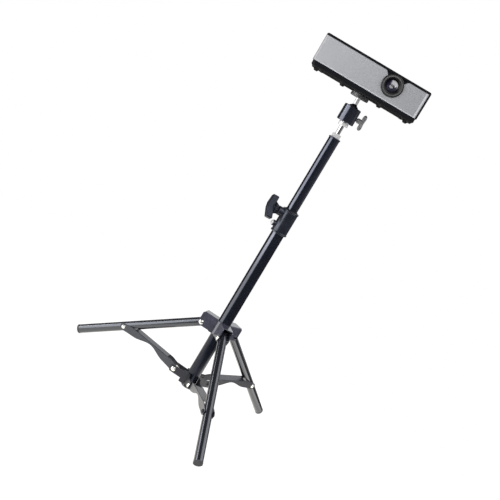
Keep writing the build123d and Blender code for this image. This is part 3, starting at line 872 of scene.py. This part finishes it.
def fluted_collar(start, along, trim):
    """Closed cone under the wings, with flutes.

    Radius = near + (far - near) * t - flute depth * (1 - cos(flutes * angle)) / 2, where the share t runs
    along the screw. Both ends are eased by a quarter round, and each is closed by a fan.
    """
    turns = full_turn(trim.flute_count * 10)
    quarter = np.linspace(0.0, math.pi / 2, 5)
    lift = FLUTE_EASE * (1 - np.cos(quarter))
    inset = FLUTE_EASE * (1 - np.sin(quarter))
    rise = np.concatenate([lift, trim.flute_tall - lift[::-1]])
    drop = np.concatenate([inset, inset[::-1]])
    share = rise / trim.flute_tall
    cone = trim.flute_near + (trim.flute_far - trim.flute_near) * share - drop
    flutes = trim.flute_deep * (1 - np.cos(trim.flute_count * turns)) / 2
    return shell(about_axis(cone[:, None] - flutes[None], rise, turns, start, along))


class STAND_OT_clamp(bpy.types.Operator):
    """Finish the clamp collar, its rivet, the wing knob and the clamp screw, and flute the knob's collar"""

    bl_idname = "stand.clamp"
    bl_label = "Clamp"

    def execute(self, context):
        dress("black_plastic", "clamp_collar")
        dress("knob_plastic", "clamp_knob")
        dress("satin_zinc", "clamp_rivet")
        dress("screw_steel", "clamp_screw")
        turning = joint("clamp_knob_turn")
        along = np.array(turning["axis"])
        boss_end = np.min((node_points("clamp_knob") - turning["pos_m"]) @ along)
        start = np.array(turning["pos_m"]) + along * (boss_end + sizes().flute_gap)
        collar = fluted_collar(start, along, sizes())
        add_piece("knob_collar", [collar], "knob_plastic", "clamp_wing")
        return {"FINISHED"}


def rounded_wave(wave):
    """A sine or cosine whose turns are squared off: its size to a power below one, with its sign."""
    return np.sign(wave) * np.abs(wave) ** WING_ROUND


def lobed_wing(centre, half, trim):
    """Closed bar with two round lobes: a rounded box section, scaled along the bar to nothing at both ends.

    At a share s of the half length the scale is (1 - waist * cos(pi * s / 2)^4) * sqrt(1 - |s|^5). The
    section is half the thickness times cos(turn)^0.6 one way and half the width times sin(turn)^0.6 the
    other, with their signs.
    """
    share = WING_TIP * np.sin(np.linspace(-0.5, 0.5, 41) * math.pi)
    waist = 1.0 - trim.wing_waist * np.cos(share * math.pi / 2) ** 4
    scale = (waist * np.sqrt(1.0 - np.abs(share) ** 5))[:, None]
    turns = full_turn(48)
    across = trim.wing_thick / 2 * rounded_wave(np.cos(turns))
    beside = trim.wing_wide / 2 * rounded_wave(np.sin(turns))
    along = np.broadcast_to((half * share)[:, None], (len(share), len(turns)))
    return shell(np.asarray(centre) + np.stack([scale * across, scale * beside, along], axis=-1))


def thumb_shank(start, end, cup_side, trim):
    """Revolved shank with a collar outside the cup: radius against distance along the screw.

    Both ends are closed by fans.
    """
    ease = SHANK_EASE
    step = cup_side + trim.collar_gap - start[0]
    thin = trim.shank
    thick = trim.shank_collar
    radii = np.array([thin - ease, thin, thin, thick - ease, thick, thick])
    stations = np.array([0.0, ease, step, step, step + ease, end - start[0]])
    return shell(about_axis(radii, stations, full_turn(40), start, (1, 0, 0)))


class STAND_OT_head(bpy.types.Operator):
    """Finish the ball head, shape its thumb screw, and turn grooves round the rim of its platform"""

    bl_idname = "stand.head"
    bl_label = "Ball head"

    def execute(self, context):
        dress("stud_chrome", "head_stud")
        dress("satin_zinc", "head_nut")
        dress("head_black", "ball_housing")
        dress("ball_steel", "ball_stud")
        dress("head_grey", "platform")
        inner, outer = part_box("thumb_screw")
        screw = middle("thumb_screw")
        centre = (outer.x - sizes().wing_back, screw.y, screw.z)
        wing = lobed_wing(centre, (outer.z - inner.z) / 2, sizes())
        cup_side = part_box("ball_housing")[1].x
        shank = thumb_shank((inner.x, screw.y, screw.z), centre[0], cup_side, sizes())
        thumb = add_piece("thumb_wing", [wing, shank], "cast_grey", "thumb")
        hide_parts("thumb_screw")
        lowest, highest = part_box("platform")
        band = grooved_band(highest.x, lowest.z + PLATFORM_EDGE, highest.z - PLATFORM_EDGE, sizes())
        add_piece("platform_grooves", [band], "head_grey", "ball")
        return {"FINISHED"}


def cross_screw(place, trim):
    """Pan head that points down, with a cross recess.

    On a polar grid of share s and turn a, height = tall * (1 - s^4) less a recess that is deepest on the two
    arms: the arms' mask falls off with the distance from the nearer arm, and ends at 0.62 of the radius.
    """
    turns = full_turn(64)
    share = np.concatenate([np.linspace(0.02, 0.7, 16), np.linspace(0.75, 1.0, 8)])[:, None]
    across = share * np.cos(turns) * trim.screw_head
    beside = share * np.sin(turns) * trim.screw_head
    from_arm = np.minimum(np.abs(across), np.abs(beside))
    arm = np.clip((trim.recess_half * 1.5 - from_arm) / (trim.recess_half * 0.8), 0.0, 1.0)
    inside = np.clip((RECESS_END - share) / RECESS_FADE, 0.0, 1.0)
    height = trim.screw_tall * (1.0 - share ** 4) - trim.recess_deep * arm * inside
    cap = np.stack([place[0] + across, place[1] + beside, place[2] - height], axis=-1)
    skirt = cap[-1:] + np.array([0.0, 0.0, SCREW_ROOT])
    return shell(np.concatenate([cap, skirt]))


def inlet_contacts(trim):
    """Pin with a half-round tip and a spring sleeve, which is a thin tube.

    The pin's radius = pin * sqrt(1 - t^2) over its tip.
    """
    mount = next(m for m in frame["record"]["mounts"] if m["name"] == "power_inlet")
    mouth = np.array(mount["pos_m"])
    inward = -np.array(mount["axis"])
    deep = mount["dims"]["length_mm"] * MM
    tip = np.linspace(1.0, 0.05, 8)
    pin_radii = np.append(trim.jack_pin, trim.jack_pin * np.sqrt(1.0 - (1.0 - tip) ** 2))
    pin_stations = np.append(deep, PIN_START + trim.jack_pin * tip)
    pin = shell(about_axis(pin_radii, pin_stations, full_turn(24), mouth, inward))
    outer = mount["dims"]["r_mm"] * MM - SLEEVE_FIT
    inner = outer - trim.jack_wall
    sleeve_radii = np.array([outer, outer, inner, inner])
    sleeve_stations = np.array([deep, SLEEVE_START, SLEEVE_START, deep])
    sleeve = shell(about_axis(sleeve_radii, sleeve_stations, full_turn(36), mouth, inward), ring=True)
    return [pin, sleeve]


class STAND_OT_projector(bpy.types.Operator):
    """Finish the projector's shell, and add the screws under it and the contacts of its power inlet"""

    bl_idname = "stand.projector"
    bl_label = "Projector"

    def execute(self, context):
        dress("projector_black", "projector_base", "projector_case", "projector_rear",
              "side_grille_left", "side_grille_right")
        dress("projector_silver", "projector_front")
        dress("projector_rubber", "projector_feet")
        lowest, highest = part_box("projector_base")
        centre = middle("projector_base")
        sides = (lowest.x + SCREW_INSET, highest.x - SCREW_INSET)
        ends = (centre.y - SCREW_REACH, centre.y + SCREW_REACH)
        screws = [cross_screw((x, y, lowest.z), sizes()) for x in sides for y in ends]
        add_piece("base_screws", screws, "screw_black", "ball")
        add_piece("inlet_contacts", inlet_contacts(sizes()), "rivet_steel", "ball")
        return {"FINISHED"}


def hood_baffles(trim):
    """Stepped cone inside the hood.

    The radius falls along the depth t, less a saw-tooth of step depth * (steps * t mod 1).
    """
    glass_low, glass_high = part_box("lens_glass")
    hood_low, hood_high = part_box("lens_barrel")
    centre = middle("lens_glass")
    wide = (hood_high.x - hood_low.x) / 2 - HOOD_WALL
    narrow = (glass_high.x - glass_low.x) / 2 + GLASS_GAP
    share = np.linspace(0.02, 0.98, trim.baffle_steps * 6)
    saw = (share * trim.baffle_steps) % 1.0
    cone = wide + (narrow - wide) * share
    radii = np.concatenate([cone - trim.baffle_deep * saw, (cone + BAFFLE_WALL)[::-1]])
    stations = np.concatenate([share, share[::-1]]) * BAFFLE_LONG
    mouth = (centre.x, hood_low.y + BAFFLE_START, centre.z)
    return shell(about_axis(radii, stations, full_turn(96), mouth, (0, 1, 0)), ring=True)


class STAND_OT_lens(bpy.types.Operator):
    """Finish the lens rings and glass, and step the inside of the hood"""

    bl_idname = "stand.lens"
    bl_label = "Lens"

    def execute(self, context):
        dress("lens_black", "lens_bezel", "lens_barrel")
        dress("lens_grey", "focus_ring")
        dress("lens_glass", "lens_glass")
        add_piece("hood_baffles", [hood_baffles(sizes())], "lens_black", "ball", sharp=25.0)
        return {"FINISHED"}


def aimed(place, aim, roll=0.0):
    """Placement that looks from a place to an aim along its own -Z, turned about that line by the roll."""
    place = Vector(place)
    ahead = (Vector(aim) - place).normalized()
    level = ahead.cross(Vector(UPWARD)).normalized()
    upright = level.cross(ahead)
    right = level * math.cos(roll) + upright * math.sin(roll)
    top = upright * math.cos(roll) - level * math.sin(roll)
    turn = Matrix((right, top, -ahead)).transposed().to_4x4()
    return Matrix.Translation(place) @ turn


def soft_lamp(name, place, aim, wide, tall, power, mirrored):
    """Rectangular soft light that shiny pieces mirror or not."""
    lamp = bpy.data.lights.new(name, "AREA")
    lamp.shape = "RECTANGLE"
    lamp.size = wide
    lamp.size_y = tall
    lamp.energy = power
    holder = bpy.data.objects.new(name, lamp)
    holder.matrix_world = aimed(place, aim)
    holder.visible_glossy = mirrored
    bpy.context.scene.collection.objects.link(holder)


def bare_tree(owner):
    """Empty node tree of a material or a world."""
    owner.use_nodes = True
    owner.node_tree.nodes.clear()
    return NodeKit(owner.node_tree)


def ray_kinds(kit):
    """One for rays from the camera, and one for rays off or through shiny pieces."""
    path = kit.node("ShaderNodeLightPath").outputs
    return path["Is Camera Ray"], kit.math("MAXIMUM", path["Is Glossy Ray"], path["Is Transmission Ray"])


def floor_disc(radius):
    """Flat disc, a polar grid: radius * share * (cos(turn), sin(turn))."""
    turns = full_turn(96)
    share = np.array([0.02, 0.1, 0.3, 1.0])
    rim = np.stack([np.cos(turns), np.sin(turns), np.zeros(len(turns))], axis=-1)
    points, faces = shell(radius * share[:, None, None] * rim)
    mesh = bpy.data.meshes.new("floor")
    mesh.from_pydata(points.tolist(), [], faces[:-len(turns)])
    return mesh


def floor_mirrored(kit, place, from_column, stage):
    """What shiny pieces see of the floor: bright by the feet, by the right leg and towards the key light."""
    by_feet = kit.span(kit.away(place, GLOW_CENTRE), *GLOW_FADE, stage.floor_shine, stage.room_dark, True)
    by_leg = kit.span(kit.away(place, PATCH_CENTRE), *PATCH_FADE, stage.patch_shine, 0.0, True)
    heading = kit.math("DIVIDE", kit.along(place, KEY_SIDE), from_column)
    to_key = kit.span(heading, *KEY_WEDGE, 0.0, KEY_SHINE, True)
    by_key = kit.times(to_key, kit.rise(from_column, *KEY_START, True))
    return kit.math("ADD", kit.math("ADD", by_feet, by_leg), by_key)


def pale_floor(stage):
    """Pale floor. By the feet it is part plain white and part matt, so it keeps a shadow.

    Further out it is plain white to the camera.
    """
    mesh = floor_disc(stage.floor_radius)
    floor = bpy.data.objects.new("floor", mesh)
    floor.location.z = -FLOOR_DROP
    bpy.context.scene.collection.objects.link(floor)
    material = bpy.data.materials.new("floor_white")
    kit = bare_tree(material)
    place = kit.node("ShaderNodeTexCoord").outputs["Object"]
    from_column = kit.away(place)
    camera, shiny = ray_kinds(kit)
    plain = kit.span(from_column, *FEET_FADE, stage.floor_white, 1.0, True)
    seen = kit.span(from_column, *FEET_FADE, FEET_GAIN / stage.floor_white, 1.0, True)
    strength = kit.pick(shiny, seen, floor_mirrored(kit, place, from_column, stage))
    tone = kit.mix(shiny, WHITE, WARM_FLOOR)
    white = kit.node("ShaderNodeEmission", {"Color": tone, "Strength": strength}).outputs[0]
    matt = kit.node("ShaderNodeBsdfDiffuse", {"Color": FLOOR_GREY}).outputs[0]
    cover = kit.math("MAXIMUM", kit.times(camera, plain), shiny)
    blend = kit.node("ShaderNodeMixShader", {"Fac": cover, 1: matt, 2: white}).outputs[0]
    kit.node("ShaderNodeOutputMaterial", {"Surface": blend})
    mesh.materials.append(material)


def white_room(stage):
    """World: plain white to the camera and a soft even light to matt pieces.

    Shiny pieces see the white backdrop behind the stand, a grey wall with a lit strip on the right, and a
    dark room elsewhere.
    """
    world = bpy.data.worlds.new("white_room")
    kit = bare_tree(world)
    ray = kit.node("ShaderNodeTexCoord").outputs["Generated"]
    camera, shiny = ray_kinds(kit)
    aside = kit.axis(ray, "X")
    ahead = kit.axis(ray, "Y")
    wall = kit.span(aside, *RIGHT_WALL, stage.room_dark, stage.room_right, True)
    near = kit.rise(ahead, *STRIP_NEAR, True)
    far = kit.span(ahead, *STRIP_FAR, 1.0, 0.0, True)
    strip = kit.times(kit.times(near, far), kit.span(aside, *STRIP_SIDE, 0.0, stage.room_strip, True))
    behind = kit.rise(ahead, *BACKDROP, True)
    upper = kit.rise(kit.axis(ray, "Z"), *HORIZON, True)
    mirrored = kit.math("MAXIMUM", kit.math("ADD", wall, strip), kit.times(behind, upper))
    strength = kit.pick(camera, kit.pick(shiny, stage.ambient, mirrored), 1.0)
    sky = kit.node("ShaderNodeBackground", {"Color": WHITE, "Strength": strength}).outputs[0]
    kit.node("ShaderNodeOutputWorld", {"Surface": sky})
    bpy.context.scene.world = world


class STAND_OT_stage(bpy.types.Operator):
    """Make the floor, the room, the lamps and the camera"""

    bl_idname = "stand.stage"
    bl_label = "Stage"

    def execute(self, context):
        scene = context.scene
        stage = scene.stand_stage
        scene.view_settings.view_transform = "Standard"
        pale_floor(stage)
        white_room(stage)
        for name, place, aim, wide, tall, power, mirrored in LAMPS:
            soft_lamp(name, place, aim, wide, tall, getattr(stage, power), mirrored)
        lens = bpy.data.cameras.new("photo_camera")
        lens.sensor_width = 36.0
        lens.lens = stage.camera_lens
        lens.clip_end = 50.0
        camera = bpy.data.objects.new("photo_camera", lens)
        camera.matrix_world = aimed(stage.camera_place, stage.camera_aim, stage.camera_roll)
        scene.collection.objects.link(camera)
        scene.camera = camera
        return {"FINISHED"}


STEPS = (STAND_OT_column, STAND_OT_legs, STAND_OT_linkage, STAND_OT_clamp, STAND_OT_head,
         STAND_OT_projector, STAND_OT_lens, STAND_OT_stage)
GROUPS = {"stand_colours": StandColours, "stand_sizes": StandSizes, "stand_stage": StandStage}


class STAND_PT_panel(bpy.types.Panel):
    """The stand's finishing steps and values"""

    bl_idname = "STAND_PT_panel"
    bl_label = "Projector stand"
    bl_space_type = "VIEW_3D"
    bl_region_type = "UI"
    bl_category = "Stand"

    def draw(self, context):
        for step in STEPS:
            self.layout.operator(step.bl_idname)
        for name, group in GROUPS.items():
            column = self.layout.column(align=True)
            for value in group.__annotations__:
                label = value.replace("_", " ").capitalize()
                column.prop(getattr(context.scene, name), value, text=label)


def register():
    """Register the value groups, the steps and the panel."""
    for name, group in GROUPS.items():
        bpy.utils.register_class(group)
        setattr(bpy.types.Scene, name, PointerProperty(type=group))
    for step in (*STEPS, STAND_PT_panel):
        bpy.utils.register_class(step)


def unregister():
    """Take the panel, the steps and the value groups out again."""
    for step in reversed((*STEPS, STAND_PT_panel)):
        bpy.utils.unregister_class(step)
    for name, group in reversed(GROUPS.items()):
        delattr(bpy.types.Scene, name)
        bpy.utils.unregister_class(group)


def main():
    """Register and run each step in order."""
    register()
    bpy.ops.stand.column()
    bpy.ops.stand.legs()
    bpy.ops.stand.linkage()
    bpy.ops.stand.clamp()
    bpy.ops.stand.head()
    bpy.ops.stand.projector()
    bpy.ops.stand.lens()
    bpy.ops.stand.stage()


if __name__ == "__main__":
    main()
